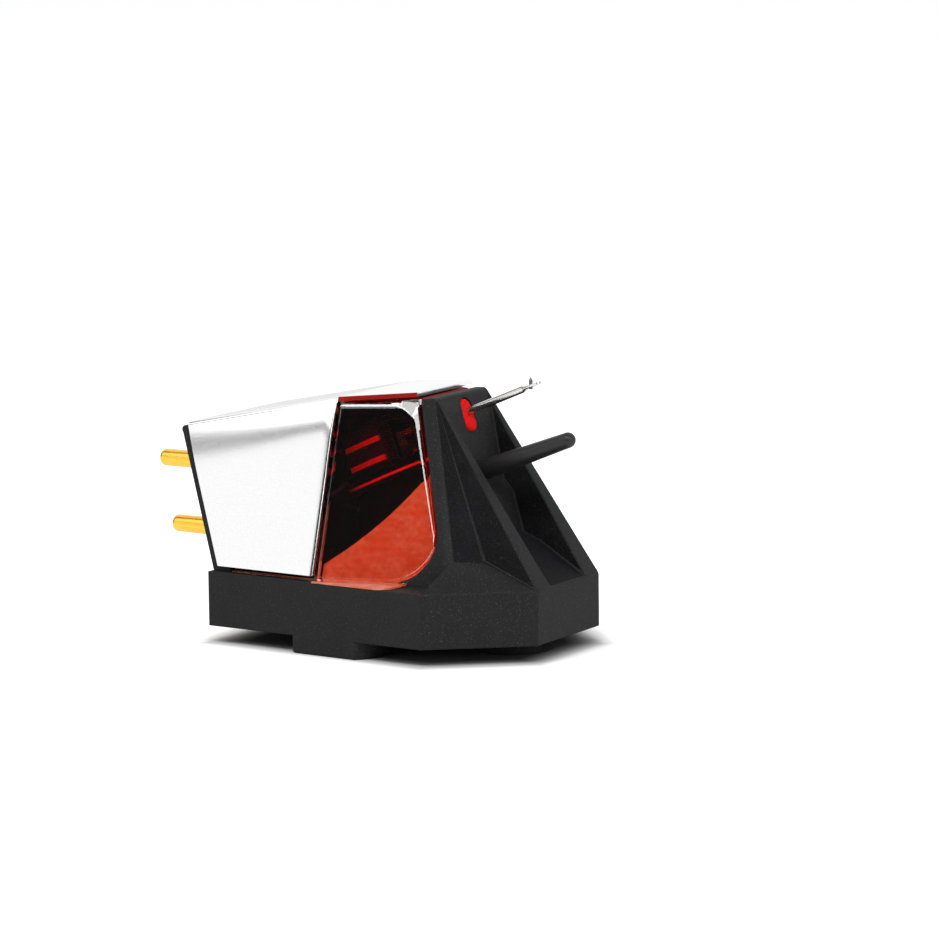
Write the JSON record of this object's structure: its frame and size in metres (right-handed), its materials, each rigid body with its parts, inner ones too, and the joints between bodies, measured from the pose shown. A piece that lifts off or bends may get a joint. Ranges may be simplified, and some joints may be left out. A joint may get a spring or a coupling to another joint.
{
  "type": "turntable stylus cartridge",
  "caption": "Moving-magnet turntable cartridge: faceted black body, clear red cover, folded steel saddle, gold terminal pins, sprung cantilever and guide pin.",
  "frame": {"origin": "midway between the two mounting screws, on the faces of the mounting pads", "axes": "+X towards the stylus end, +Y to the right channel's side, +Z away from the mounting face"},
  "size_m": [0.031, 0.018, 0.0185],
  "materials": {
    "black_plastic": "glass-filled, fine matte grain",
    "red_cover": "deep red, clear and glossy",
    "polished_steel": "bright satin polish",
    "black_satin": "satin",
    "red_rubber": "matte",
    "cantilever_alloy": "polished",
    "diamond": "ground and polished",
    "magnet_plating": "nickel plated",
    "spring_steel": "drawn",
    "anchor_brass": "turned",
    "gold_plate": "gold plated, polished",
    "pole_iron": "pressed sheet",
    "bobbin_plastic": "moulded",
    "enamelled_copper": "enamelled wire",
    "pale_resin": "cast, mottled",
    "white_lead": "insulated",
    "blue_lead": "insulated",
    "red_lead": "insulated",
    "green_lead": "insulated"
  },
  "bodies": {
    "shell": {"body": "black_plastic", "generator_cover": "red_cover", "steel_saddle": "polished_steel", "terminal_plate": "black_plastic", "left_signal_pin": "gold_plate", "left_ground_pin": "gold_plate", "right_signal_pin": "gold_plate", "right_ground_pin": "gold_plate", "guide_pin": "black_satin", "generator_carrier": "black_plastic", "corner_filling": "pale_resin", "wire_anchor": "anchor_brass", "left_lower_pole": "pole_iron", "left_upper_pole": "pole_iron", "right_lower_pole": "pole_iron", "right_upper_pole": "pole_iron", "left_bobbin": "bobbin_plastic", "right_bobbin": "bobbin_plastic", "left_winding": "enamelled_copper", "right_winding": "enamelled_copper", "left_signal_lead": "white_lead", "left_ground_lead": "blue_lead", "right_signal_lead": "red_lead", "right_ground_lead": "green_lead"},
    "bush": {"suspension_bush": "red_rubber"},
    "stylus": {"cantilever": "cantilever_alloy", "stylus_tip": "diamond", "magnet": "magnet_plating", "tie_wire": "spring_steel"}
  },
  "joints": [
    {"name": "cantilever_vertical", "type": "hinge", "parent": "shell", "child": "bush", "pos_m": [0.00515, 0, 0.01553], "axis": [0, 1, 0], "range_deg": [-4, 4], "stiffness_Nm_per_rad": 0.0024, "deforming": ["suspension_bush", "tie_wire"]},
    {"name": "cantilever_lateral", "type": "hinge", "parent": "bush", "child": "stylus", "pos_m": [0.00515, 0, 0.01553], "axis": [-0.3811, 0, 0.9245], "range_deg": [-4, 4], "stiffness_Nm_per_rad": 0.0024, "deforming": ["suspension_bush", "tie_wire"]}
  ]
}
